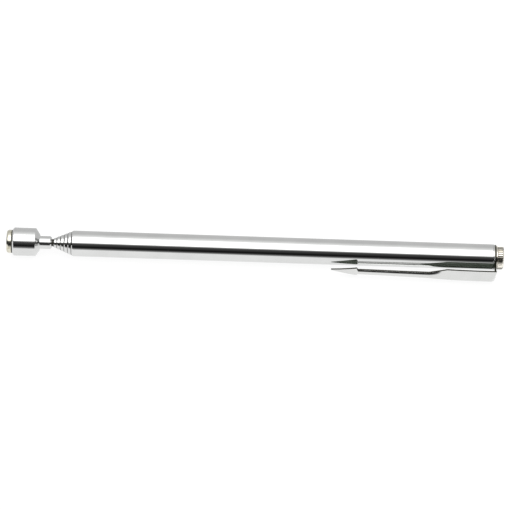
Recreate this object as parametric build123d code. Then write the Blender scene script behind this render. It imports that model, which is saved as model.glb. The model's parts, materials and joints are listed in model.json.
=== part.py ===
from build123d import *
import math
import os

# Telescoping magnetic pick-up tool with a pocket clip, closed and lying on a flat surface.
# Stations are millimetres along the tool axis, measured back from the face of the magnet.

# Overall
LENGTH = 134.8
HEAD_R = 3.825
CLIP_LEAN = 11.4        # degrees that the clip points below the horizontal when the tool lies down

# Head
MAGNET_R = 3.175
MAGNET_BACK = 5.9
MAGNET_EDGE = 0.55      # fillet round the magnet's face
GROOVE_FROM = 1.36
GROOVE_TO = 1.6
GROOVE_DEPTH = 0.14
CUP_FRONT = 1.65
CUP_CHAMFER = 0.4
CUP_SHOULDER = 7.85
CUP_BACK = 8.95
CUP_BACK_R = 2.1
POCKET_R = 3.2
POCKET_END = 5.95
NECK_R = 1.75
NECK_END = 12.15
NECK_CHAMFER = 0.15
ROD_START = 7.2

# Telescoping sections: 0 is the barrel, 1 to 5 are the tubes inside it, 6 is the rod
WALL = 0.3
SECTION_R = [3.5, 3.075, 2.65, 2.225, 1.8, 1.375, 0.975]
SECTION_FRONT = [17.5, 16.5, 15.5, 14.5, 13.5, 12.6]
LIP_LENGTH = 0.5        # straight bearing land inside the rolled end of a tube
NOSE_LENGTH = 0.8       # tapered outside of the rolled end
LIP_EDGE = 0.08         # radial thickness of the end face of a tube
GUIDE_GAP = 0.02        # radial running clearance in a rolled end
STOP_GAP = 0.2          # play left between a stop bush and the rolled end at full reach
BARREL_END = 131.8

# Stop bushes and friction springs at the rear of sections 1 to 6
REAR_OF_FIRST = 126.0
REAR_PITCH = 6.6
BUSH_LENGTH = 4.5
SPIGOT_LENGTH = 1.5
BUSH_GAP = 0.03
BUSH_WALL = 0.42
SPRING_GAP = 0.012
SPRING_THICK = 0.11
SPRING_LENGTH = 2.6
SPRING_FLOAT = 0.1      # end float of a spring in its groove
SPRING_OPENING = 50.0   # degrees left open by the split
ROD_TAIL_R = 0.55
RIVET_R = 0.8
RIVET_LENGTH = 0.4
TURN_GAP = 0.03        # radial and end clearance that lets the rod turn in its bush

# Rear end
PLUG_LENGTH = 5.0
FLANGE_END = 132.25
RING_END = 132.75
COLLAR_END = 133.1
COLLAR_R = 3.05
CAP_R = 3.25
CAP_ROUND = 0.35
KNURL_TEETH = 36
TOOTH_RISE = 0.25        # where a tooth's flat top starts, as a share of the pitch
TOOTH_FALL = 0.55        # where it ends; the groove's floor is at 0
CAP_ARC_STEPS = 4        # straight steps in the cap's rounded rear edge
KNURL_DEPTH = 0.16
THREAD_HOLE_R = 1.25
STUD_R = 1.22
STUD_LENGTH = 4.5
RING_HOLE_R = 1.5

# Pocket clip: crowns and feet are radii from the tool axis, widths are half widths
SHEET = 0.35
BEND_R = 2.0
CROWN_REAR = 7.05
HOOD_HALF = 2.8
HOOD_FOOT = 5.4
HOOD_CROWN_HALF = 0.5
HOOD_CROWN_DROP = 0.15
HOOD_FRONT = 119.2
NECK_HALF = 1.5         # the ring narrows to a neck, and the neck carries the hood
NECK_OUT = 4.9
TANGENT_HALF = 3.2
TANGENT_OUT = 1.2
WASHER_R = 3.42
SPLIT = 117.0           # where the arm starts to bend away from the hood
SPLIT_GAP = 0.05
ROOT_HALF = 2.2
ROOT_CROWN = 6.8
ROOT_DROP = 1.35         # how much lower a section's edges are than its crown
ARM_ROOT = 114.9
ARM_HALF = 1.4
ARM_CROWN = 6.55
ARM_DROP = 0.87
BARB = 95.1
BARB_STEP = 0.3         # length over which the arrowhead's barbs stand out from the arm
BARB_CROWN = 6.12
BARB_ROOT_HALF = 1.12   # half width of the arm where it meets the barbs
BARB_DROP = 0.7
HEAD_HALF = 2.5
HEAD_DROP = 0.58
MIDDLE_CROWN = 5.68
MIDDLE_DROP = 0.33
TIP = 88.1
TIP_HALF = 0.2
TIP_CROWN = 5.22
TIP_DROP = 0.04

SPAN = 20.0             # longer than any cross-section is wide


def bore(index):
    """Inside radius of a telescoping section."""
    return SECTION_R[index] - WALL


def rear(index):
    """Station of the rear face of a section's stop bush."""
    return REAR_OF_FIRST - REAR_PITCH * (index - 1)


def travel(index):
    """How far a section slides out before its bush meets the rolled end of the next one."""
    return rear(index) - BUSH_LENGTH - (SECTION_FRONT[index - 1] + LIP_LENGTH + WALL) - STOP_GAP


def turned(points):
    """Solid of revolution about the tool axis from a profile of (station, radius) points."""
    profile = make_face(Polyline(*[(x, 0, r) for x, r in points], close=True).edges())
    return revolve(profile, Axis.X)


def ring(start, end, outer, inner):
    """Plain ring about the tool axis."""
    return turned([(start, inner), (end, inner), (end, outer), (start, outer)])


def magnet():
    arc = [
        (MAGNET_EDGE * (1 - math.sin(a)), MAGNET_R - MAGNET_EDGE * (1 - math.cos(a)))
        for a in [math.radians(15 * k) for k in range(6, -1, -1)]
    ]
    groove_r = MAGNET_R - GROOVE_DEPTH
    groove = [
        (GROOVE_FROM, MAGNET_R),
        (GROOVE_FROM, groove_r),
        (GROOVE_TO, groove_r),
        (GROOVE_TO, MAGNET_R),
    ]
    return turned([(0, 0)] + arc + groove + [(MAGNET_BACK, MAGNET_R), (MAGNET_BACK, 0)])


def head_cup():
    """Steel cup for the magnet, with the neck that grips the rod."""
    outside = [
        (CUP_FRONT, HEAD_R - CUP_CHAMFER),
        (CUP_FRONT + CUP_CHAMFER, HEAD_R),
        (CUP_SHOULDER, HEAD_R),
        (CUP_BACK, CUP_BACK_R),
        (CUP_BACK, NECK_R),
        (NECK_END - NECK_CHAMFER, NECK_R),
        (NECK_END, NECK_R - NECK_CHAMFER),
    ]
    rod_hole = [(NECK_END, SECTION_R[6]), (ROD_START, SECTION_R[6]), (ROD_START, 0)]
    pocket = [(POCKET_END, 0), (POCKET_END, POCKET_R), (CUP_FRONT, POCKET_R)]
    return turned(outside + rod_hole + pocket)


def tube(index, end):
    """Drawn tube whose front end is rolled in around the next section."""
    front = SECTION_FRONT[index]
    lip_r = SECTION_R[index + 1] + GUIDE_GAP
    return turned(
        [
            (front, lip_r),
            (front, lip_r + LIP_EDGE),
            (front + NOSE_LENGTH, SECTION_R[index]),
            (end, SECTION_R[index]),
            (end, bore(index)),
            (front + LIP_LENGTH + WALL, bore(index)),
            (front + LIP_LENGTH, lip_r),
        ]
    )


def inner_rod():
    """Solid rod, riveted over behind its stop bush so that it can turn in it."""
    shoulder = rear(6) - BUSH_LENGTH - TURN_GAP
    rivet = rear(6) + TURN_GAP
    return turned(
        [
            (ROD_START, 0),
            (ROD_START, SECTION_R[6]),
            (shoulder, SECTION_R[6]),
            (shoulder, ROD_TAIL_R),
            (rivet, ROD_TAIL_R),
            (rivet, RIVET_R),
            (rivet + RIVET_LENGTH, RIVET_R),
            (rivet + RIVET_LENGTH, 0),
        ]
    )


def stop_bush(index):
    """Brass bush on the rear end of a section, with a groove for its friction spring."""
    outer = bore(index - 1) - BUSH_GAP
    groove_r = bore(index - 1) - SPRING_GAP - SPRING_THICK - BUSH_GAP
    back = rear(index)
    front = back - BUSH_LENGTH
    mid = (back + front) / 2
    half = SPRING_LENGTH / 2 + SPRING_FLOAT
    outside = [
        (front, outer),
        (mid - half, outer),
        (mid - half, groove_r),
        (mid + half, groove_r),
        (mid + half, outer),
        (back, outer),
    ]
    if index == 6:
        turning_r = ROD_TAIL_R + TURN_GAP
        return turned(outside + [(back, turning_r), (front, turning_r)])
    hole = bore(index) - BUSH_WALL
    spigot = [(front - SPIGOT_LENGTH, hole), (front - SPIGOT_LENGTH, bore(index)), (front, bore(index))]
    return turned(outside + [(back, hole)] + spigot)


def friction_spring(index):
    """Split sleeve of spring bronze that rubs on the bore of the next section out."""
    outer = bore(index - 1) - SPRING_GAP
    mid = rear(index) - BUSH_LENGTH / 2
    sleeve = ring(mid - SPRING_LENGTH / 2, mid + SPRING_LENGTH / 2, outer, outer - SPRING_THICK)
    reach = 2 * outer
    spread = reach * math.tan(math.radians(SPRING_OPENING / 2))
    wedge = make_face(
        Polyline((0, 0, 0), (0, -spread, reach), (0, spread, reach), close=True).edges()
    )
    opening = extrude(wedge, amount=LENGTH, dir=(1, 0, 0))
    return sleeve - opening


def end_bushing():
    """Plug pressed into the rear of the barrel, threaded for the end cap."""
    return turned(
        [
            (BARREL_END - PLUG_LENGTH, THREAD_HOLE_R),
            (BARREL_END - PLUG_LENGTH, bore(0)),
            (BARREL_END, bore(0)),
            (BARREL_END, SECTION_R[0]),
            (FLANGE_END, SECTION_R[0]),
            (FLANGE_END, THREAD_HOLE_R),
        ]
    )


def end_cap():
    """Knurled cap screw that traps the clip's ring against the end bushing."""
    rounding = [
        (LENGTH - CAP_ROUND * (1 - math.sin(a)), CAP_R - CAP_ROUND * (1 - math.cos(a)))
        for a in [math.radians(90 * k / CAP_ARC_STEPS) for k in range(CAP_ARC_STEPS + 1)]
    ]
    body = turned(
        [(COLLAR_END, 0), (COLLAR_END, CAP_R - CAP_ROUND / 2), (COLLAR_END + CAP_ROUND / 2, CAP_R)]
        + rounding
        + [(LENGTH, 0)]
    )
    rim = []
    for tooth in range(KNURL_TEETH):
        angle = 2 * math.pi * tooth / KNURL_TEETH
        for turn, radius in ((0.0, CAP_R - KNURL_DEPTH), (TOOTH_RISE, CAP_R), (TOOTH_FALL, CAP_R)):
            a = angle + turn * 2 * math.pi / KNURL_TEETH
            rim.append((COLLAR_END, radius * math.cos(a), radius * math.sin(a)))
    star = make_face(Polyline(*rim, close=True).edges())
    teeth = extrude(star, amount=LENGTH - COLLAR_END, dir=(1, 0, 0))
    neck = turned([(RING_END, 0), (RING_END, COLLAR_R), (COLLAR_END, COLLAR_R), (COLLAR_END, 0)])
    stud_start = RING_END - STUD_LENGTH
    stud = turned([(stud_start, 0), (stud_start, STUD_R), (RING_END, STUD_R), (RING_END, 0)])
    return (body & teeth) + neck + stud


def hood_outline(half, foot, crown):
    """Curve over the top of the hood at the split: two sloping sides and a rounded crown."""
    shoulder = crown - HOOD_CROWN_DROP
    return [
        Line((SPLIT, -half, foot), (SPLIT, -HOOD_CROWN_HALF, shoulder)),
        ThreePointArc(
            (SPLIT, -HOOD_CROWN_HALF, shoulder), (SPLIT, 0, crown), (SPLIT, HOOD_CROWN_HALF, shoulder)
        ),
        Line((SPLIT, HOOD_CROWN_HALF, shoulder), (SPLIT, half, foot)),
    ]


def swept_back(edges, start, end):
    """Solid made by moving a closed outline at the split along the tool axis."""
    return Pos(start - SPLIT, 0, 0) * extrude(make_face(edges), amount=end - start, dir=(1, 0, 0))


def hood_envelope():
    """Everything in front of the rear bend of the clip and behind the ramp at the hood's front."""
    bend_start = RING_END - BEND_R
    bend_low = CROWN_REAR - BEND_R
    mid_bend = (bend_start + BEND_R * math.sqrt(0.5), 0, bend_low + BEND_R * math.sqrt(0.5))
    edges = [
        Line((SPLIT, 0, SPAN), (SPLIT, 0, ROOT_CROWN - ROOT_DROP)),
        Line((SPLIT, 0, ROOT_CROWN - ROOT_DROP), (HOOD_FRONT, 0, HOOD_FOOT)),
        Line((HOOD_FRONT, 0, HOOD_FOOT), (HOOD_FRONT, 0, -SPAN)),
        Line((HOOD_FRONT, 0, -SPAN), (RING_END, 0, -SPAN)),
        Line((RING_END, 0, -SPAN), (RING_END, 0, bend_low)),
        ThreePointArc((RING_END, 0, bend_low), mid_bend, (bend_start, 0, CROWN_REAR)),
        Line((bend_start, 0, CROWN_REAR), (bend_start, 0, SPAN)),
        Line((bend_start, 0, SPAN), (SPLIT, 0, SPAN)),
    ]
    return extrude(make_face(edges), amount=SPAN, both=True)


def clip_base():
    """Ring and hood of the pocket clip."""
    slope = (CROWN_REAR - HOOD_CROWN_DROP - HOOD_FOOT) / (HOOD_HALF - HOOD_CROWN_HALF)
    inner_foot = HOOD_FOOT - SHEET * math.hypot(1, slope)
    outer = hood_outline(HOOD_HALF, HOOD_FOOT, CROWN_REAR)
    inner = hood_outline(HOOD_HALF, inner_foot, CROWN_REAR - SHEET * math.hypot(1, slope))
    sides = [
        Line((SPLIT, side * HOOD_HALF, HOOD_FOOT), (SPLIT, side * HOOD_HALF, inner_foot))
        for side in (-1, 1)
    ]
    shell = swept_back(outer + sides + inner, SPLIT, RING_END)
    neck = [
        (-HOOD_HALF, HOOD_FOOT),
        (-NECK_HALF, NECK_OUT),
        (-TANGENT_HALF, TANGENT_OUT),
        (-TANGENT_HALF, 0),
        (TANGENT_HALF, 0),
        (TANGENT_HALF, TANGENT_OUT),
        (NECK_HALF, NECK_OUT),
        (HOOD_HALF, HOOD_FOOT),
    ]
    web = list(Polyline(*[(SPLIT, side, out) for side, out in neck]).edges())
    wall = swept_back(outer + web, FLANGE_END, RING_END)
    hood = (shell + wall) & hood_envelope()
    return hood + ring(FLANGE_END, RING_END, WASHER_R, 0) - ring(FLANGE_END, RING_END, RING_HOLE_R, 0)


def arm_section(station, half, crown, drop):
    """Cross-section of the clip's arm: a strip of sheet curved across its width."""
    edge = crown - drop
    return make_face(
        [
            ThreePointArc((station, -half, edge), (station, 0, crown), (station, half, edge)),
            Line((station, half, edge), (station, half, edge - SHEET)),
            ThreePointArc(
                (station, half, edge - SHEET), (station, 0, crown - SHEET), (station, -half, edge - SHEET)
            ),
            Line((station, -half, edge - SHEET), (station, -half, edge)),
        ]
    )


def clip_arm():
    """Springy arm of the pocket clip, which ends in an arrowhead."""
    middle_half = (HEAD_HALF + TIP_HALF) / 2
    sections = [
        arm_section(SPLIT - SPLIT_GAP, ROOT_HALF, ROOT_CROWN, ROOT_DROP),
        arm_section(ARM_ROOT, ARM_HALF, ARM_CROWN, ARM_DROP),
        arm_section(BARB + BARB_STEP, BARB_ROOT_HALF, BARB_CROWN, BARB_DROP),
        arm_section(BARB, HEAD_HALF, BARB_CROWN, HEAD_DROP),
        arm_section((BARB + TIP) / 2, middle_half, MIDDLE_CROWN, MIDDLE_DROP),
        arm_section(TIP, TIP_HALF, TIP_CROWN, TIP_DROP),
    ]
    return loft(sections, ruled=True)


def nodes():
    """Every piece of the tool, by name, along the tool axis with the clip pointing up."""
    pieces = {
        "magnet": magnet(),
        "head_cup": head_cup(),
        "inner_rod": inner_rod(),
        "barrel": tube(0, BARREL_END),
        "end_bushing": end_bushing(),
        "end_cap": end_cap(),
        "clip_base": clip_base(),
        "clip_arm": clip_arm(),
    }
    for index in range(1, 6):
        pieces[f"section_{index}"] = tube(index, rear(index) - BUSH_LENGTH)
    for index in range(1, 7):
        pieces[f"stop_bush_{index}"] = stop_bush(index)
        pieces[f"friction_spring_{index}"] = friction_spring(index)
    return pieces


def lying_down(pieces):
    """Roll the tool onto its clip and put the origin under the middle of its footprint."""
    rolled = {name: Rot(90 + CLIP_LEAN, 0, 0) * piece for name, piece in pieces.items()}
    box = Compound(children=[Part(piece.wrapped) for piece in rolled.values()]).bounding_box()
    shift = Pos(-LENGTH / 2, -(box.min.Y + box.max.Y) / 2, -box.min.Z)
    print("magnet face at", [round(v, 4) for v in shift.position])
    return {name: shift * piece for name, piece in rolled.items()}


def main():
    os.makedirs("parts", exist_ok=True)
    print("travels", [round(travel(index), 3) for index in range(1, 7)])
    for name, piece in lying_down(nodes()).items():
        export_step(piece, f"parts/{name}.step")


main()
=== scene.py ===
import json
import math

import bmesh
import bpy
from mathutils import Matrix, Vector

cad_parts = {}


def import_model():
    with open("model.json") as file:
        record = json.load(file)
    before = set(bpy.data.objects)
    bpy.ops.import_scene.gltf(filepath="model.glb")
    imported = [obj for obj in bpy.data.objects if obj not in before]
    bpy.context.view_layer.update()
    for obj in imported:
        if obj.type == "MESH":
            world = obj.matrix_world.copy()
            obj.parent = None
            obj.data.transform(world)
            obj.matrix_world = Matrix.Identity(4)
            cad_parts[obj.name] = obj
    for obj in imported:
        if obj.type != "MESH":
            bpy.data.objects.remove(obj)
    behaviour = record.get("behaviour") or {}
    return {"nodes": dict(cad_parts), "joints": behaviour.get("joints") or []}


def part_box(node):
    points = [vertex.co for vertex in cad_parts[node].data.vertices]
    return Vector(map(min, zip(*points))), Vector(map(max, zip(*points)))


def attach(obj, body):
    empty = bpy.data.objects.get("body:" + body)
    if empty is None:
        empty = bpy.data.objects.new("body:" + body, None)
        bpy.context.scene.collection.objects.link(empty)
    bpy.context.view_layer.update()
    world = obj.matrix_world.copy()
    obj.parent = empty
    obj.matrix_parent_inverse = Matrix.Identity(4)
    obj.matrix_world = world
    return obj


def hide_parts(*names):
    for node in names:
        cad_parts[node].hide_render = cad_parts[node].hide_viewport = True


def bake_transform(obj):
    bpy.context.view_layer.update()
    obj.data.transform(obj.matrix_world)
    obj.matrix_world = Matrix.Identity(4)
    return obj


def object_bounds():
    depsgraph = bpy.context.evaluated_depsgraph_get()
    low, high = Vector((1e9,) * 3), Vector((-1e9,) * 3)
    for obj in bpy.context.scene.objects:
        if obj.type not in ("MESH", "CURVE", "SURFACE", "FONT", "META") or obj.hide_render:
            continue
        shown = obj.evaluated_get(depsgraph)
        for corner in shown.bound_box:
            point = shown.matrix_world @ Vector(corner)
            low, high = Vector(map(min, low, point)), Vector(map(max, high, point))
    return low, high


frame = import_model()
cad_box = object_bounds()

# Lengths below are millimetres in the tool's own frame: a station is measured along the tool
# from the face of the magnet, and a radius from the tool's axis.
MM = 0.001
SIDES = 192         # faces round a turned piece
CLOSE = 1e-4        # slack when a face is matched with a band of stations
RELIEF = 0.002      # height of the polishing lines

barrel_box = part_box("barrel")
flex = next(joint for joint in frame["joints"] if joint["name"] == "clip_flex")
AXIS_Y = (barrel_box[0].y + barrel_box[1].y) / 2
AXIS_Z = (barrel_box[0].z + barrel_box[1].z) / 2
FACE_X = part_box("magnet")[0].x
ACROSS = Vector(flex["axis"]).normalized()      # across the clip, towards its upper edge
OUTWARD = Vector((1, 0, 0)).cross(ACROSS)       # from the axis to the crown of the clip


def station(node, end):
    """Station of a node's front (end 0) or rear (end 1)."""
    return (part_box(node)[end].x - FACE_X) / MM


def radius(node):
    """Largest radius of a node that is round about the axis."""
    return (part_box(node)[1].z - AXIS_Z) / MM


def world(x, side, out):
    """Place of a point given along the tool, across the clip and outwards from the axis."""
    return Vector((FACE_X + x * MM, AXIS_Y, AXIS_Z)) + (ACROSS * side + OUTWARD * out) * MM


def ramp(value, low, high):
    """Smooth step from 0 at low to 1 at high."""
    t = min(max((value - low) / (high - low), 0.0), 1.0)
    return t * t * (3 - 2 * t)


# ---------------------------------------------------------------- meshes


def finished(name, bm, material, sharp=28):
    """Turns a bmesh into a smooth-shaded object whose flats stay flat."""
    bmesh.ops.recalc_face_normals(bm, faces=bm.faces)
    mesh = bpy.data.meshes.new(name)
    bm.to_mesh(mesh)
    bm.free()
    mesh.shade_smooth()
    mesh.set_sharp_from_angle(angle=math.radians(sharp))
    mesh.materials.append(material)
    obj = bpy.data.objects.new(name, mesh)
    bpy.context.scene.collection.objects.link(obj)
    weighted = obj.modifiers.new("flat_faces", "WEIGHTED_NORMAL")
    weighted.keep_sharp = True
    return obj


def rounded(corners, steps=5):
    """Profile of (station, radius, rounding) corners with each rounding turned into an arc."""
    points = []
    count = len(corners)
    for i, (x, r, rounding) in enumerate(corners):
        here = Vector((x, r))
        before = Vector(corners[i - 1][:2]) - here
        after = Vector(corners[(i + 1) % count][:2]) - here
        turn = before.angle(after)
        if rounding == 0 or turn > math.radians(179):
            points.append(here)
            continue
        reach = min(rounding / math.tan(turn / 2), 0.49 * min(before.length, after.length))
        start = here + before.normalized() * reach
        end = here + after.normalized() * reach
        for k in range(steps + 1):
            t = k / steps
            points.append(start * (1 - t) ** 2 + here * 2 * t * (1 - t) + end * t**2)
    return points


def off_axis(point):
    """Station and radius of a point given in world coordinates."""
    return (point.x - FACE_X) / MM, (point.yz - Vector((AXIS_Y, AXIS_Z))).length / MM


def lathe(name, corners, material, wave=None, sides=SIDES, steps=5, bands=()):
    """Closed solid of revolution; wave(x, r, angle) may change a point's radius.

    bands lists (first station, last station, least radius): the faces inside a band get painted
    shade, dark as in a gap between two pieces.
    """
    bm = bmesh.new()
    rings = []
    for point in rounded(corners, steps):
        if point.y < 1e-6:
            rings.append([bm.verts.new(world(point.x, 0, 0))])
            continue
        ring = []
        for k in range(sides):
            angle = 2 * math.pi * k / sides
            r = wave(point.x, point.y, angle) if wave else point.y
            ring.append(bm.verts.new(world(point.x, r * math.sin(angle), r * math.cos(angle))))
        rings.append(ring)
    for one, two in zip(rings, rings[1:] + rings[:1]):
        if len(one) == 1 and len(two) == 1:
            continue
        for k in range(sides):
            n = (k + 1) % sides
            if len(one) == 1:
                bm.faces.new((one[0], two[k], two[n]))
            elif len(two) == 1:
                bm.faces.new((one[k], one[n], two[0]))
            else:
                bm.faces.new((one[k], one[n], two[n], two[k]))
    # Faces inside a band get the second slot, painted gap shade.
    for first, last, least in bands:
        for face in bm.faces:
            spots = [off_axis(v.co) for v in face.verts]
            if all(first - CLOSE < x < last + CLOSE and r > least for x, r in spots):
                face.material_index = 1
    made = finished(name, bm, material)
    if bands:
        made.data.materials.append(GAP_SHADE)
    return made


# ---------------------------------------------------------------- materials


def node(tree, kind, **values):
    """New shader node with the given settings."""
    made = tree.nodes.new(kind)
    for key, value in values.items():
        setattr(made, key, value)
    return made


def metal(name, tint, roughness, lines, line_gain, smudge=0.05, spots=None):
    """Plated metal: polishing lines along or round the tool, faint smudges and fine scratches.

    lines is the scale of the polishing lines along X, Y and Z, and line_gain their strength.
    smudge is the most that a smudge adds to the roughness; spots is the colour of tarnish.
    """
    mat = bpy.data.materials.new(name)
    mat.use_nodes = True
    tree = mat.node_tree
    link = tree.links.new
    shader = tree.nodes["Principled BSDF"]
    shader.inputs["Metallic"].default_value = 1.0
    place = node(tree, "ShaderNodeTexCoord")

    stretch = node(tree, "ShaderNodeMapping")
    stretch.inputs["Scale"].default_value = lines
    link(place.outputs["Object"], stretch.inputs["Vector"])
    grain = node(tree, "ShaderNodeTexNoise")
    grain.inputs["Scale"].default_value = 1.0
    grain.inputs["Detail"].default_value = 4.0
    link(stretch.outputs["Vector"], grain.inputs["Vector"])

    cloud = node(tree, "ShaderNodeTexNoise")
    cloud.inputs["Scale"].default_value = 140.0
    cloud.inputs["Detail"].default_value = 5.0
    cloud.inputs["Roughness"].default_value = 0.6
    link(place.outputs["Object"], cloud.inputs["Vector"])

    tilt = node(tree, "ShaderNodeMapping")
    tilt.inputs["Rotation"].default_value = (0.4, 0.7, 0.3)
    tilt.inputs["Scale"].default_value = (900, 60, 900)
    link(place.outputs["Object"], tilt.inputs["Vector"])
    scratch = node(tree, "ShaderNodeTexNoise")
    scratch.inputs["Scale"].default_value = 1.0
    scratch.inputs["Detail"].default_value = 2.0
    link(tilt.outputs["Vector"], scratch.inputs["Vector"])
    thin = node(tree, "ShaderNodeMapRange")
    thin.inputs["From Min"].default_value = 0.66
    thin.inputs["From Max"].default_value = 0.74
    link(scratch.outputs["Fac"], thin.inputs["Value"])

    rough = node(tree, "ShaderNodeMapRange")
    rough.inputs["From Min"].default_value = 0.3
    rough.inputs["From Max"].default_value = 0.75
    rough.inputs["To Min"].default_value = roughness
    rough.inputs["To Max"].default_value = roughness + smudge
    link(cloud.outputs["Fac"], rough.inputs["Value"])
    rougher = node(tree, "ShaderNodeMath", operation="MULTIPLY_ADD")
    rougher.inputs[1].default_value = 0.12
    link(thin.outputs["Result"], rougher.inputs[0])
    link(rough.outputs["Result"], rougher.inputs[2])
    link(rougher.outputs["Value"], shader.inputs["Roughness"])

    shade = node(tree, "ShaderNodeMapRange")
    shade.inputs["From Min"].default_value = 0.35
    shade.inputs["From Max"].default_value = 0.7
    shade.inputs["To Min"].default_value = 1.0
    shade.inputs["To Max"].default_value = 0.93
    link(cloud.outputs["Fac"], shade.inputs["Value"])
    colour = node(tree, "ShaderNodeMix", data_type="RGBA", blend_type="MULTIPLY")
    colour.inputs["Factor"].default_value = 1.0
    colour.inputs["A"].default_value = (*tint, 1)
    link(shade.outputs["Result"], colour.inputs["B"])
    last = colour.outputs["Result"]
    if spots:
        pits = node(tree, "ShaderNodeTexNoise")
        pits.inputs["Scale"].default_value = 900.0
        pits.inputs["Detail"].default_value = 3.0
        link(place.outputs["Object"], pits.inputs["Vector"])
        mask = node(tree, "ShaderNodeMapRange")
        mask.inputs["From Min"].default_value = 0.58
        mask.inputs["From Max"].default_value = 0.72
        mask.inputs["To Max"].default_value = 0.7
        link(pits.outputs["Fac"], mask.inputs["Value"])
        stain = node(tree, "ShaderNodeMix", data_type="RGBA")
        stain.inputs["B"].default_value = (*spots, 1)
        link(mask.outputs["Result"], stain.inputs["Factor"])
        link(last, stain.inputs["A"])
        last = stain.outputs["Result"]
    link(last, shader.inputs["Base Color"])

    height = node(tree, "ShaderNodeMath", operation="MULTIPLY_ADD")
    height.inputs[1].default_value = line_gain
    link(grain.outputs["Fac"], height.inputs[0])
    link(thin.outputs["Result"], height.inputs[2])
    relief = node(tree, "ShaderNodeBump")
    relief.inputs["Strength"].default_value = 0.25
    relief.inputs["Distance"].default_value = RELIEF * MM
    link(height.outputs["Value"], relief.inputs["Height"])
    link(relief.outputs["Normal"], shader.inputs["Normal"])
    return mat


def dull(name, tint, roughness):
    """Dark, slightly grainy material without any metal in it."""
    mat = bpy.data.materials.new(name)
    mat.use_nodes = True
    tree = mat.node_tree
    shader = tree.nodes["Principled BSDF"]
    shader.inputs["Roughness"].default_value = roughness
    place = node(tree, "ShaderNodeTexCoord")
    grain = node(tree, "ShaderNodeTexNoise")
    grain.inputs["Scale"].default_value = 1500.0
    grain.inputs["Detail"].default_value = 3.0
    tree.links.new(place.outputs["Object"], grain.inputs["Vector"])
    colour = node(tree, "ShaderNodeMix", data_type="RGBA")
    colour.inputs["A"].default_value = (*tint, 1)
    colour.inputs["B"].default_value = (*(v * 0.4 for v in tint), 1)
    tree.links.new(grain.outputs["Fac"], colour.inputs["Factor"])
    tree.links.new(colour.outputs["Result"], shader.inputs["Base Color"])
    relief = node(tree, "ShaderNodeBump")
    relief.inputs["Strength"].default_value = 0.5
    relief.inputs["Distance"].default_value = 0.02 * MM
    tree.links.new(grain.outputs["Fac"], relief.inputs["Height"])
    tree.links.new(relief.outputs["Normal"], shader.inputs["Normal"])
    return mat


ALONG = (25, 2600, 2600)        # polishing lines that run along the tool
ROUND = (3200, 60, 60)          # turning lines that run round it

CHROME = metal("chrome_tube", (0.70, 0.705, 0.70), 0.035, ALONG, 1.0, smudge=0.012)
CHROME_TURNED = metal("chrome_turned", (0.70, 0.705, 0.70), 0.09, ROUND, 1.6)
CLIP_PLATE = metal("clip_chrome", (0.70, 0.705, 0.695), 0.10, ALONG, 1.2, smudge=0.06)
# Cut edges of the clip: raw steel, with a near-black tint that is painted shade.
CLIP_EDGE_SHADE = metal("clip_cut_edge_painted_shade", (0.016, 0.016, 0.011), 0.22, ALONG, 3.0, smudge=0.12)
# Painted shade: the washer's whole tint is darkened to stand for the shaded crevice round it.
WASHER_SHADE_TONE = metal("washer_painted_shade", (0.17, 0.165, 0.14), 0.16, ROUND, 2.0, smudge=0.08)
# Painted shade: the dark tint of the clip's inside stands for the shade under it.
CLIP_INSIDE_SHADE = metal("clip_underside_painted_shade", (0.13, 0.15, 0.125), 0.28, ALONG, 2.0, smudge=0.15)
NICKEL = metal("nickel_turned", (0.76, 0.73, 0.66), 0.13, ROUND, 1.5, spots=(0.52, 0.48, 0.38))
MAGNET_PLATE = metal(
    "magnet_nickel", (0.74, 0.715, 0.61), 0.12, ROUND, 1.0, smudge=0.1, spots=(0.40, 0.36, 0.24)
)
# Painted shade: a dark ring shaped as a glue line that darkens the magnet's groove.
GROOVE_SHADE_TONE = dull("painted_groove_shade", (0.05, 0.047, 0.028), 0.55)
# Painted shade: a near-black dull colour laid on gaps, seams and grooves where shade falls.
GAP_SHADE = dull("painted_gap_shade", (0.03, 0.028, 0.018), 0.4)
BRASS = metal("turned_brass", (0.72, 0.52, 0.22), 0.18, ROUND, 2.0, spots=(0.45, 0.28, 0.10))
BRONZE = metal("spring_bronze", (0.68, 0.42, 0.24), 0.22, ALONG, 2.0, spots=(0.40, 0.22, 0.12))

# ---------------------------------------------------------------- head

GROOVE_FRONT = 1.36     # groove round the magnet, from the magnet's face
GROOVE_BACK = 1.60
GROOVE_DEPTH = 0.13
GROOVE_FLOOR = 0.2      # depth of the hidden inner side of the ring of painted shade
POCKET_GAP = 0.025
POCKET_FLOOR = 5.95
CONE_START = 6.2        # cone at the back of the cup, from the cup's front
CONE_END = 7.3
CONE_END_R = 2.15
NECK_R = 1.75
ROD_FIT = 0.005
ROD_SIDES = 96
TAIL_LENGTH = 4.96      # thin tail of the rod that carries the stop bush
TAIL_R = 0.55
TAIL_HEAD = 0.4         # head that holds the bush on the tail
TAIL_HEAD_R = 0.8


def magnet():
    """Disc magnet with a rounded face and a groove where it meets its cup."""
    face = station("magnet", 0)
    back = station("magnet", 1)
    r = radius("magnet")
    corners = [
        (face, 0, 0),
        (face + 0.02, r - 0.9, 0.5),
        (face + 0.08, r - 0.28, 0.12),
        (face + 0.55, r, 0.5),
        (face + 1.30, r, 0.05),
        (face + GROOVE_FRONT, r - GROOVE_DEPTH, 0.02),
        (face + GROOVE_BACK, r - GROOVE_DEPTH, 0.02),
        (face + 1.63, r - 0.02, 0.02),
        (back, r - 0.02, 0.05),
        (back, 0, 0),
    ]
    return lathe("magnet_disc", corners, MAGNET_PLATE, steps=8)


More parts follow.
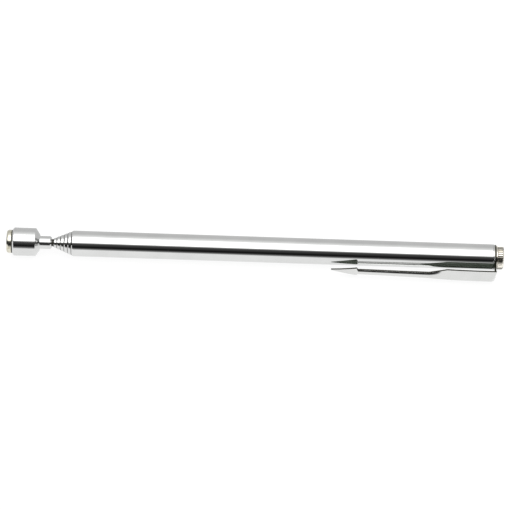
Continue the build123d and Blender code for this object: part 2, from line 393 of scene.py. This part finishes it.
def shaded_groove_ring():
    """Thin ring of painted shade in the groove between the magnet and the rim of its cup."""
    face = station("magnet", 0)
    r = radius("magnet")
    corners = [
        (face + 1.35, r - GROOVE_FLOOR, 0),
        (face + 1.35, r - 0.08, 0.04),
        (face + 1.62, r - 0.03, 0.04),
        (face + 1.62, r - GROOVE_FLOOR, 0),
    ]

    def uneven(x, base, angle):
        """Outer edge of the painted-shade ring, wavy by up to 0.02 mm."""
        if base < r - 0.15:
            return base
        return base + 0.02 * math.sin(5 * angle + 1) * math.sin(3 * angle)

    return lathe("painted_groove_ring", corners, GROOVE_SHADE_TONE, wave=uneven)


def head_cup():
    """Turned cup with a chamfered front, a conical back and a neck for the rod."""
    front = station("head_cup", 0)
    back = station("head_cup", 1)
    r = radius("head_cup")
    rod_r = radius("inner_rod")
    rod_start = station("inner_rod", 0)
    pocket = radius("magnet") + POCKET_GAP
    corners = [
        (front, pocket, 0.05),
        (front, r - 0.38, 0.08),
        (front + 0.36, r, 0.14),
        (front + CONE_START, r, 0.25),
        (front + CONE_END, CONE_END_R, 0.15),
        (front + CONE_END + 0.02, NECK_R, 0.06),
        (back - 0.34, NECK_R, 0.05),
        (back, 1.44, 0.04),
        (back, rod_r + ROD_FIT, 0.02),
        (rod_start, rod_r + ROD_FIT, 0),
        (rod_start, 0, 0),
        (POCKET_FLOOR, 0, 0),
        (POCKET_FLOOR, pocket, 0.05),
    ]
    # The last 0.12 mm of the neck gets painted shade where the rod leaves it.
    return lathe("magnet_cup", corners, CHROME_TURNED, bands=[(back - 0.12, back, 1.0)])


def rod():
    """Innermost section: a solid rod, with painted shade where it leaves the neck of the cup."""
    start = station("inner_rod", 0)
    end = station("inner_rod", 1)
    neck = station("head_cup", 1)
    r = radius("inner_rod")
    corners = [
        (start, 0, 0),
        (start, r, 0.03),
        (neck - 0.1, r, 0),
        (neck + 0.5, r, 0),
        (end - TAIL_LENGTH, r, 0.05),
        (end - TAIL_LENGTH, TAIL_R, 0),
        (end - TAIL_HEAD, TAIL_R, 0),
        (end - TAIL_HEAD, TAIL_HEAD_R, 0.1),
        (end, TAIL_HEAD_R, 0.2),
        (end, 0, 0),
    ]
    # Painted shade on the rod where it leaves the neck of the cup.
    neck_shade = [(neck - 0.1, neck + 0.55, 0.9)]
    return lathe("slim_rod", corners, CHROME, sides=ROD_SIDES, bands=neck_shade)


# ---------------------------------------------------------------- telescoping tubes

WALL = 0.3
RUNNING_GAP = 0.02
LIP_SHADE = 0.17        # width of the painted shade on the front of a rolled end


def tube(name, cad, inner):
    """Drawn tube whose front end is rolled in round the next section."""
    front = station(cad, 0)
    end = station(cad, 1)
    r = radius(cad)
    lip = radius(inner) + RUNNING_GAP
    corners = [
        (front, lip + 0.02, 0.01),
        (front, lip + 0.05, 0.01),
        (front + LIP_SHADE, lip + 0.18, 0),
        (front + 0.36, lip + 0.34, 0.07),
        (front + 0.7, r, 0.2),
        (end, r, 0.04),
        (end, r - WALL, 0.04),
        (front + 0.8, r - WALL, 0.05),
        (front + 0.5, lip, 0.05),
    ]
    # The front of the rolled lip gets painted shade, as a dark gap line.
    return lathe(name, corners, CHROME, bands=[(front, front + LIP_SHADE, lip + 0.01)])


# ---------------------------------------------------------------- rear end

PLUG_BORE_R = 1.25
STUD_R = 1.22
TEETH = 36
TOOTH_SIDES = 16        # faces round one tooth pitch
TOOTH_DEPTH = 0.26
GROOVE_SHARE = 0.3      # half the groove's width, as a share of the pitch
KNURL_SHADE_DEPTH = 0.17       # depth in the grooves below which they get painted shade
COLLAR_R = 3.05
COLLAR_LENGTH = 0.25


def bushing():
    """Plug in the rear of the barrel, with a flange as wide as the barrel."""
    start = station("end_bushing", 0)
    end = station("end_bushing", 1)
    r = radius("end_bushing")
    flange = station("barrel", 1)
    corners = [
        (start, PLUG_BORE_R, 0.1),
        (start, r - WALL, 0.15),
        (flange, r - WALL, 0),
        (flange, r - 0.12, 0),
        (flange + 0.13, r - 0.01, 0.03),
        (end - 0.14, r - 0.01, 0.03),
        (end, r - 0.14, 0.02),
        (end, PLUG_BORE_R, 0.1),
    ]
    # The seams at the flange and at the rear face get painted shade.
    seams = [(flange, flange + 0.09, r - 0.2), (end - 0.12, end, r - 0.2)]
    return lathe("barrel_plug", corners, CHROME_TURNED, bands=seams)


def end_cap():
    """Knurled cap screw whose collar holds the clip's washer."""
    start = station("end_cap", 0)
    end = station("end_cap", 1)
    ring_end = station("clip_base", 1)
    r = radius("end_cap")
    knurl_start = ring_end + COLLAR_LENGTH

    def knurl(x, base, angle):
        """Straight teeth that run out on the rounded rear edge."""
        if x < knurl_start or base < r - 0.75:
            return base
        phase = (angle * TEETH / (2 * math.pi)) % 1.0
        groove = max(0.0, 1.0 - abs(phase - 0.5) / GROOVE_SHARE)
        depth = TOOTH_DEPTH * ramp(base, r - 0.75, r - 0.35)
        return base - depth * groove**0.8

    corners = [
        (start, 0, 0),
        (start, STUD_R, 0.1),
        (ring_end, STUD_R, 0),
        (ring_end, COLLAR_R, 0.06),
        (knurl_start, COLLAR_R, 0),
        (knurl_start, r - 0.16, 0.05),
        (knurl_start + 0.16, r, 0.08),
        (end - 0.42, r, 0.25),
        (end - 0.12, r - 0.30, 0.2),
        (end - 0.05, r - 0.8, 0.2),
        (end, 1.4, 0.5),
        (end, 0, 0),
    ]
    cap = lathe("knurled_cap", corners, NICKEL, wave=knurl, sides=TEETH * TOOTH_SIDES)
    # The deep parts of the knurl's grooves get painted shade.
    cap.data.materials.append(GAP_SHADE)
    for face in cap.data.polygons:
        x, out = off_axis(face.center)
        if knurl_start + 0.1 < x < end - 0.3 and COLLAR_R - 0.2 < out < r - KNURL_SHADE_DEPTH:
            face.material_index = 1
    return cap


# ---------------------------------------------------------------- pocket clip

SHEET = 0.35            # thickness of the clip's sheet
TIP = 88.1              # arrow tip, barbs, start of the arm at the hood, full hood: stations
BARB = 95.1
ARM_ROOT = 114.9
HOOD_FRONT = 119.2
DARK_RUN = 4.0          # length over which the painted shade inside the hood narrows to the arm
BEND = 2.0              # outer radius of the rear bend
BEND_STEPS = 10
ACROSS_STEPS = 32
STATION_STEP = 0.5
CREST = 0.2             # share of the hood's half width that its rounded crown takes
EDGE_BEVEL = 0.08
WASHER_R = 3.42
WASHER_BORE_R = 1.5
TAB_HALF = 1.5          # half the width of the tab between washer and hood
TAB_BEVEL = 0.04
UNDERSIDE = 1           # material slots of the clip after the first, polished one
CUT_FACE = 2


def between(x, table):
    """Value at x on the line through (x, value) points."""
    for (x0, v0), (x1, v1) in zip(table, table[1:]):
        if x <= x1:
            t = min(max((x - x0) / (x1 - x0), 0.0), 1.0)
            return v0 + (v1 - v0) * t
    return table[-1][1]


# Half width, height of the crown and drop of the edges below it, each as (station, value).
HALF_WIDTH = [(TIP, 0.1), (88.5, 0.25), (91.6, 1.32), (94.7, 2.42), (95.0, 2.5), (95.4, 1.12),
              (105.0, 1.25), (112.0, 1.36), (114.7, 1.42), (117.0, 2.05), (119.4, 2.74), (121.0, 2.8),
              (133.0, 2.8)]
CROWN = [(TIP, 5.2), (90.5, 5.62), (93.2, 6.0), (94.9, 6.12), (95.9, 6.12), (101.4, 6.24),
         (106.8, 6.38), (112.2, 6.50), (114.9, 6.57), (117.6, 6.80), (120.9, 6.95), (124.0, 7.02),
         (127.0, 7.05), (133.0, 7.05)]
DROP = [(TIP, 0.03), (90.5, 0.24), (93.2, 0.48), (94.9, 0.58), (95.4, 0.70), (101.4, 0.75),
        (108.0, 0.80), (114.7, 0.88), (117.0, 1.28), (119.4, 1.62), (133.0, 1.65)]


def clip_point(x, t):
    """Point (side, out) of the clip's outer surface: t runs from -1 to 1 across it.

    The arm is an arc across its width; the hood is a tent with a rounded crown.
    """
    half = between(x, HALF_WIDTH)
    crown = between(x, CROWN)
    drop = between(x, DROP)
    bend = math.atan(drop / half) * 2
    arc_r = half / math.sin(bend) if bend > 0.01 else 100.0
    arc = (arc_r * math.sin(bend * t), crown - arc_r * (1 - math.cos(bend * t)))
    a = abs(t)
    soft = 0.5 * a * a / CREST if a < CREST else a - CREST / 2
    tent = (half * t, crown - drop * soft / (1 - CREST / 2))
    k = ramp(x, ARM_ROOT, HOOD_FRONT)
    return arc[0] * (1 - k) + tent[0] * k, arc[1] * (1 - k) + tent[1] * k


def clip():
    """The whole clip from its rear bend to its arrow tip, as one sheet with cut edges."""
    ring_back = station("clip_base", 1)
    bend_x = ring_back - BEND
    bend_centre = CROWN[-1][1] - BEND
    across = ACROSS_STEPS
    stations = [TIP + 0.35 * k for k in range(19)] + [94.85, 95.0, 95.12, 95.26, 95.4]
    x = 95.8
    while x < bend_x:
        stations.append(x)
        x += STATION_STEP
    stations.append(bend_x)
    bend_steps = [k / BEND_STEPS for k in range(BEND_STEPS + 1)]
    bm = bmesh.new()

    def row_of(x, depth):
        """One row across the sheet; depth is how far it lies below the outer surface."""
        row = []
        for k in range(across + 1):
            side, out = clip_point(x, 2 * k / across - 1)
            row.append(bm.verts.new(world(x, side, out - depth)))
        return row

    def bend_row(step, depth):
        """One row of the rear bend, from its start (step 0) down to the ring (step 1)."""
        row = []
        for k in range(across + 1):
            side, out = clip_point(bend_x, 2 * k / across - 1)
            rise = out - depth - bend_centre
            r = BEND - depth
            angle = math.asin(min(rise / r, 1.0)) * (1 - step) if rise > 0 else 0.0
            height = bend_centre + r * math.sin(angle) + min(rise, 0.0)
            row.append(bm.verts.new(world(bend_x + r * math.cos(angle), side, height)))
        return row

    outer = [row_of(x, 0.0) for x in stations] + [bend_row(t, 0.0) for t in bend_steps]
    inner = [row_of(x, SHEET) for x in stations] + [bend_row(t, SHEET) for t in bend_steps]
    last = len(outer) - 1
    barb = sum(x < BARB for x in stations)
    for i in range(last):
        for k in range(across):
            bm.faces.new((outer[i][k], outer[i][k + 1], outer[i + 1][k + 1], outer[i + 1][k]))
            under = bm.faces.new((inner[i][k], inner[i + 1][k], inner[i + 1][k + 1], inner[i][k + 1]))
            # Painted shade inside the hood and the arrowhead, narrowing along the arm.
            spread = abs(2 * (k + 0.5) / across - 1) * DARK_RUN
            reach = stations[min(i, len(stations) - 1)] - (ARM_ROOT - DARK_RUN + 1.0)
            under.material_index = UNDERSIDE if reach > spread or i <= barb else 0
        # Cut faces get the cut-edge tint, which is painted shade.
        for k in (0, across):
            cut = bm.faces.new((outer[i][k], outer[i + 1][k], inner[i + 1][k], inner[i][k]))
            cut.material_index = CUT_FACE
    for i in (0, last):
        for k in range(across):
            cut = bm.faces.new((outer[i][k], inner[i][k], inner[i][k + 1], outer[i][k + 1]))
            cut.material_index = CUT_FACE
    bmesh.ops.remove_doubles(bm, verts=bm.verts, dist=1e-7)
    weight = bm.edges.layers.float.new("bevel_weight_edge")
    for line in bm.edges:
        cut_sides = sum(face.material_index == CUT_FACE for face in line.link_faces)
        line[weight] = float(cut_sides == 1)
    obj = finished("pocket_clip", bm, CLIP_PLATE, sharp=40)
    obj.data.materials.append(CLIP_INSIDE_SHADE)
    obj.data.materials.append(CLIP_EDGE_SHADE)
    edge = obj.modifiers.new("edge", "BEVEL")
    edge.width = EDGE_BEVEL * MM
    edge.segments = 1
    edge.limit_method = "WEIGHT"
    obj.modifiers.move(obj.modifiers.find("edge"), 0)
    return obj


def clip_ring():
    """Washer end of the clip, trapped behind the barrel's plug, and the tab up to the hood."""
    back = station("clip_base", 1)
    front = station("end_bushing", 1)
    corners = [
        (front, WASHER_BORE_R, 0.03),
        (front, WASHER_R - 0.16, 0.02),
        (front + 0.17, WASHER_R, 0.03),
        (back - 0.17, WASHER_R, 0.03),
        (back, WASHER_R - 0.16, 0.02),
        (back, WASHER_BORE_R, 0.05),
    ]
    # Both seams of the washer get painted shade.
    seams = [(front, front + 0.14, WASHER_R - 0.3), (back - 0.12, back, WASHER_R - 0.3)]
    ring = lathe("clip_washer", corners, WASHER_SHADE_TONE, bands=seams)
    bm = bmesh.new()
    top = CROWN[-1][1] - BEND + 0.3
    half = [(3.2, 1.2), (TAB_HALF, 4.9), (TAB_HALF, top)]
    outline = [(-side, out) for side, out in half] + [(side, out) for side, out in reversed(half)]
    loops = []
    for x in (front, back - 0.01):
        loops.append([bm.verts.new(world(x, side, out)) for side, out in outline])
    bm.faces.new(loops[0])
    bm.faces.new(loops[1])
    for k in range(len(outline)):
        n = (k + 1) % len(outline)
        bm.faces.new((loops[0][k], loops[0][n], loops[1][n], loops[1][k]))
    tab = finished("clip_tab", bm, CLIP_PLATE)
    edge = tab.modifiers.new("edge", "BEVEL")
    edge.width = TAB_BEVEL * MM
    edge.segments = 2
    for face in tab.data.polygons:
        # The tab's side faces get the cut-edge tint, which is painted shade.
        face.material_index = int(abs(face.normal.x) < 0.5)
    tab.data.materials.append(CLIP_EDGE_SHADE)
    return ring, tab


# ---------------------------------------------------------------- put together

PLAIN = [
    (magnet(), "magnet", "rod_body", "magnet_nickel"),
    (shaded_groove_ring(), "magnet", "rod_body", "magnet_nickel"),
    (head_cup(), "head_cup", "rod_body", "chrome_plate"),
    (rod(), "inner_rod", "rod_body", "chrome_plate"),
    (tube("barrel_tube", "barrel", "section_1"), "barrel", "barrel_body", "chrome_plate"),
    (bushing(), "end_bushing", "barrel_body", "chrome_plate"),
    (end_cap(), "end_cap", "barrel_body", "nickel_plate"),
]
for index in range(1, 6):
    cad = f"section_{index}"
    following = f"section_{index + 1}" if index < 5 else "inner_rod"
    PLAIN.append((tube(f"tube_{index}", cad, following), cad, f"{cad}_body", "chrome_plate"))
for piece, cad, body, slot in PLAIN:
    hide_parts(cad)
    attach(piece, body)

spring_clip = clip()
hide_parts("clip_base", "clip_arm")
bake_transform(spring_clip)
for piece in clip_ring():
    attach(piece, "barrel_body")

for name, obj in frame["nodes"].items():
    if name.startswith("stop_bush"):
        finish_with = BRASS
    elif name.startswith("friction_spring"):
        finish_with = BRONZE
    else:
        continue
    for slot_on_object in obj.material_slots:
        slot_on_object.material = finish_with

# ---------------------------------------------------------------- studio


def flat_card(name, y_from, height, reach, colour, glow):
    """Level card whose light is mostly its own, so that shadows on it stay faint."""
    bm = bmesh.new()
    corners = [(-reach, y_from), (reach, y_from), (reach, reach), (-reach, reach)]
    bm.faces.new([bm.verts.new((x, y, height)) for x, y in corners])
    mesh = bpy.data.meshes.new(name)
    bm.to_mesh(mesh)
    bm.free()
    mat = bpy.data.materials.new(name)
    mat.use_nodes = True
    shader = mat.node_tree.nodes["Principled BSDF"]
    shader.inputs["Base Color"].default_value = (colour, colour, colour, 1)
    shader.inputs["Roughness"].default_value = 0.9
    shader.inputs["Specular IOR Level"].default_value = 0.0
    shader.inputs["Emission Color"].default_value = (1, 1, 1, 1)
    shader.inputs["Emission Strength"].default_value = glow
    mesh.materials.append(mat)
    obj = bpy.data.objects.new(name, mesh)
    bpy.context.scene.collection.objects.link(obj)
    return obj


def floor():
    """White table, and a grey card behind the tool that only reflections see."""
    low = cad_box[0].z - 0.02 * MM
    flat_card("light_table", -3.0, low, 3.0, 0.12, 0.92)
    card = flat_card("grey_card", AXIS_Y + 1.5 * MM, low + 0.01 * MM, 2.9, 0.0, 0.69)
    card.visible_camera = False
    card.visible_diffuse = False
    card.visible_shadow = False


def studio_light():
    """Soft light that changes with the angle round the tool: light from the front, dark panel,
    white overhead softbox, grey back wall."""
    world_light = bpy.data.worlds.new("studio")
    bpy.context.scene.world = world_light
    world_light.use_nodes = True
    tree = world_light.node_tree
    link = tree.links.new
    background = tree.nodes["Background"]
    place = node(tree, "ShaderNodeTexCoord")
    parts = node(tree, "ShaderNodeSeparateXYZ")
    link(place.outputs["Generated"], parts.inputs["Vector"])
    forward = node(tree, "ShaderNodeMath", operation="MULTIPLY")
    forward.inputs[1].default_value = -1.0
    link(parts.outputs["Y"], forward.inputs[0])
    angle = node(tree, "ShaderNodeMath", operation="ARCTAN2")
    link(parts.outputs["Z"], angle.inputs[0])
    link(forward.outputs["Value"], angle.inputs[1])
    turn = node(tree, "ShaderNodeMapRange")
    turn.inputs["From Min"].default_value = 0.0
    turn.inputs["From Max"].default_value = math.pi
    link(angle.outputs["Value"], turn.inputs["Value"])
    colours = node(tree, "ShaderNodeValToRGB")
    # (degrees from the front over the top to the back, brightness)
    stops = [
        (0.0, 0.80),
        (3.0, 0.62),
        (8.0, 0.22),
        (18.0, 0.03),
        (27.0, 0.005),
        (36.0, 0.03),
        (45.0, 0.06),
        (54.0, 0.08),
        (60.0, 0.40),
        (65.0, 1.30),
        (70.0, 2.4),
        (109.0, 2.4),
        (119.0, 1.35),
        (130.0, 1.0),
        (141.0, 0.84),
        (154.0, 0.70),
        (180.0, 0.69),
    ]
    ramp_nodes = colours.color_ramp
    while len(ramp_nodes.elements) < len(stops):
        ramp_nodes.elements.new(0.5)
    for element, (degrees, _) in zip(ramp_nodes.elements, stops):
        element.position = degrees / 180
    for element, (_, level) in zip(ramp_nodes.elements, stops):
        element.color = (level, level, level, 1)
    link(turn.outputs["Result"], colours.inputs["Fac"])
    link(colours.outputs["Color"], background.inputs["Color"])
    sideways = node(tree, "ShaderNodeMath", operation="ABSOLUTE")
    link(parts.outputs["X"], sideways.inputs[0])
    ends = node(tree, "ShaderNodeMapRange", interpolation_type="SMOOTHSTEP")
    ends.inputs["From Min"].default_value = 0.72
    ends.inputs["From Max"].default_value = 0.98
    ends.inputs["To Min"].default_value = 1.0
    ends.inputs["To Max"].default_value = 0.05
    link(sideways.outputs["Value"], ends.inputs["Value"])
    link(ends.outputs["Result"], background.inputs["Strength"])
    pale = node(tree, "ShaderNodeBackground")
    pale.inputs["Color"].default_value = (0.95, 0.95, 0.95, 1)
    seen = node(tree, "ShaderNodeLightPath")
    either = node(tree, "ShaderNodeMixShader")
    link(seen.outputs["Is Camera Ray"], either.inputs["Fac"])
    link(background.outputs["Background"], either.inputs[1])
    link(pale.outputs["Background"], either.inputs[2])
    link(either.outputs["Shader"], tree.nodes["World Output"].inputs["Surface"])


def camera():
    """Looks down at the tool, square to its axis and to the side of its clip."""
    elevation = 57.6
    distance = 0.7
    aim_below = 1.52        # millimetres that the aim lies below the tool's axis in the picture
    roll = math.radians(1.89)
    half_length = (cad_box[1].x - cad_box[0].x) / 2
    back = Vector((0, -math.cos(math.radians(elevation)), math.sin(math.radians(elevation))))
    up = Vector((0, math.sin(math.radians(elevation)), math.cos(math.radians(elevation))))
    centre = Vector((cad_box[0].x + half_length, AXIS_Y, AXIS_Z)) - up * aim_below * MM
    data = bpy.data.cameras.new("camera")
    data.lens = 182.05
    data.sensor_width = 36
    data.clip_start = 0.01
    data.clip_end = 20
    obj = bpy.data.objects.new("camera", data)
    bpy.context.scene.collection.objects.link(obj)
    look = (-back).to_track_quat("-Z", "Y").to_matrix().to_4x4()
    place = Matrix.Translation(centre + back * distance)
    obj.matrix_world = place @ look @ Matrix.Rotation(roll, 4, "Z")
    bpy.context.scene.camera = obj


floor()
studio_light()
camera()
bpy.context.scene.view_settings.view_transform = "Standard"
